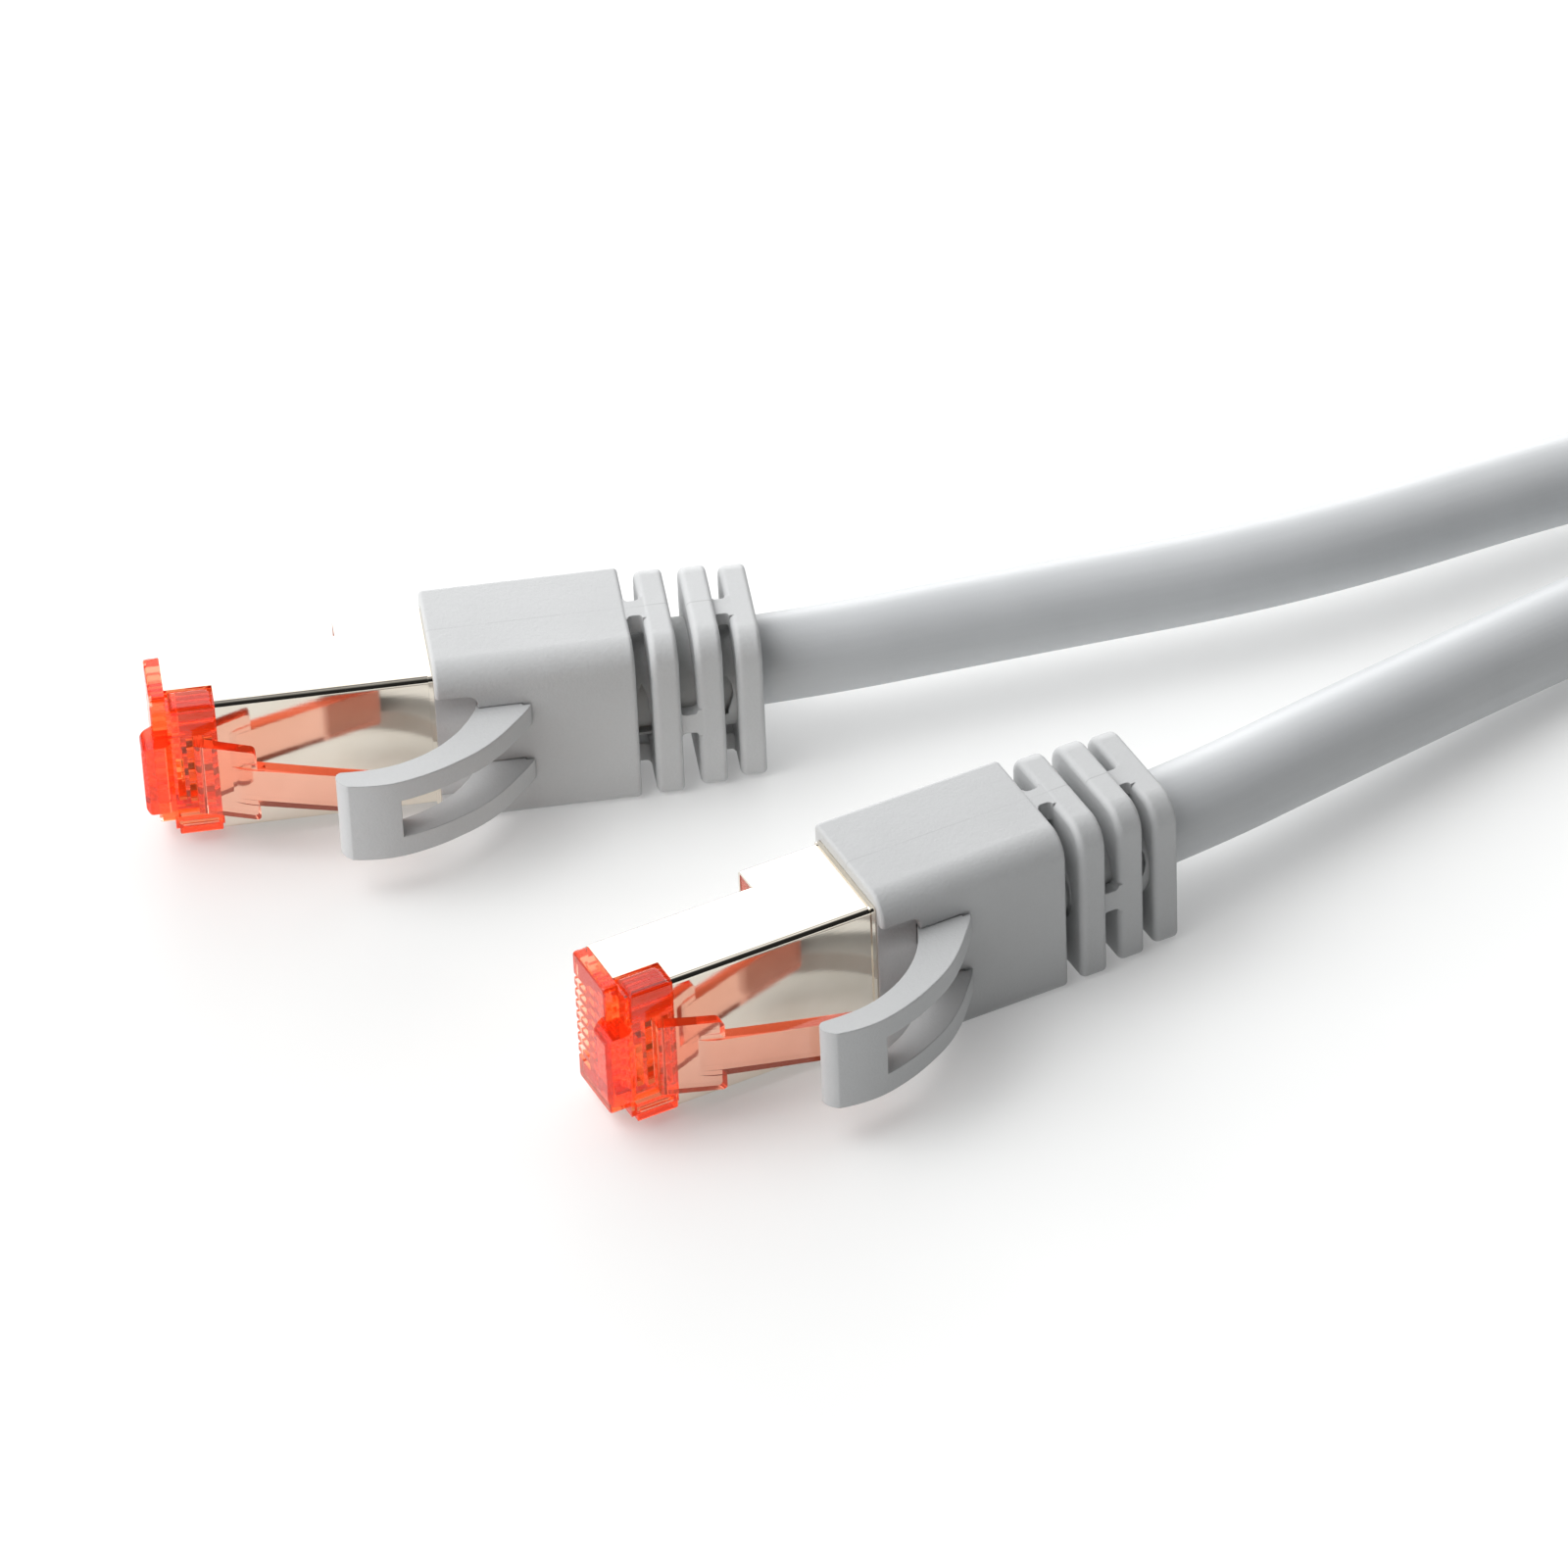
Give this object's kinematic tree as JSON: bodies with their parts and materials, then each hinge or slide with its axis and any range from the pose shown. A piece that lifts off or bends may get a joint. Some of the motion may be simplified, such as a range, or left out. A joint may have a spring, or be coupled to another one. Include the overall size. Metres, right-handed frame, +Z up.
{
  "type": "ethernet patch cable",
  "caption": "Shielded network patch cable with a modular plug on each end, red latch, grey boot with latch guard and ribbed strain relief, cable looped and tied.",
  "frame": {"origin": "on the table under the middle of the box around both connectors, cable and tie left out", "axes": "+X along connector b from its nose to its cable; +Y away from the latch side of connector b; +Z up from the table, across the width of both connectors"},
  "size_m": [0.2327, 0.0775, 0.0138],
  "materials": {
    "red_polycarbonate": "clear red moulded polycarbonate",
    "gold_contact": "gold-plated phosphor bronze",
    "nickel_shield": "nickel-plated brass sheet, finely brushed",
    "guide_plastic": "clear moulded plastic",
    "ferrule_metal": "nickel-plated brass",
    "tinned_braid": "tinned copper braid, combed back",
    "boot_grey": "soft PVC overmould with a fine matte texture",
    "guard_grey": "the same moulding's latch guard",
    "cable_jacket": "extruded PVC jacket, satin, slightly blue grey",
    "hook_and_loop": "woven hook-and-loop strap",
    "orange_insulation": "orange and white-orange polyethylene",
    "green_insulation": "green and white-green polyethylene",
    "blue_insulation": "blue and white-blue polyethylene",
    "brown_insulation": "brown and white-brown polyethylene",
    "bare_copper": "bare copper strands"
  },
  "bodies": {
    "root": {"plug_housing_a": "red_polycarbonate", "contact_blades_a": "gold_contact", "shield_can_a": "nickel_shield", "wire_guide_a": "guide_plastic", "crimp_ferrule_a": "ferrule_metal", "braid_collar_a": "tinned_braid", "inner_sleeve_a": "boot_grey", "boot_a": "boot_grey", "orange_pair_a": "orange_insulation", "green_pair_a": "green_insulation", "blue_pair_a": "blue_insulation", "brown_pair_a": "brown_insulation", "copper_cores_a": "bare_copper", "plug_housing_b": "red_polycarbonate", "contact_blades_b": "gold_contact", "shield_can_b": "nickel_shield", "wire_guide_b": "guide_plastic", "crimp_ferrule_b": "ferrule_metal", "braid_collar_b": "tinned_braid", "inner_sleeve_b": "boot_grey", "boot_b": "boot_grey", "orange_pair_b": "orange_insulation", "green_pair_b": "green_insulation", "blue_pair_b": "blue_insulation", "brown_pair_b": "brown_insulation", "copper_cores_b": "bare_copper", "cable": "cable_jacket", "cable_tie": "hook_and_loop"},
    "latch_a": {"latch_lever_a": "red_polycarbonate"},
    "guard_a": {"latch_guard_a": "guard_grey"},
    "latch_b": {"latch_lever_b": "red_polycarbonate"},
    "guard_b": {"latch_guard_b": "guard_grey"}
  },
  "joints": [
    {"name": "guard_a_press", "type": "hinge", "parent": "root", "child": "guard_a", "pos_m": [-0.00592, 0.01448, 0.00688], "axis": [0, 0, -1], "range_deg": [0, 17], "stiffness_Nm_per_rad": 0.02},
    {"name": "latch_a_press", "type": "hinge", "parent": "root", "child": "latch_a", "pos_m": [-0.02629, 0.02254, 0.00688], "axis": [0, 0, 1], "range_deg": [0, 12.5]},
    {"name": "guard_b_press", "type": "hinge", "parent": "root", "child": "guard_b", "pos_m": [0.01079, -0.02272, 0.00688], "axis": [0, 0, -1], "range_deg": [0, 17], "stiffness_Nm_per_rad": 0.02},
    {"name": "latch_b_press", "type": "hinge", "parent": "root", "child": "latch_b", "pos_m": [-0.01109, -0.02162, 0.00688], "axis": [0, 0, 1], "range_deg": [0, 12.5]}
  ],
  "couplings": [
    {"joint": "latch_a_press", "follows": "guard_a_press", "ratio": 0.735},
    {"joint": "latch_b_press", "follows": "guard_b_press", "ratio": 0.735}
  ]
}
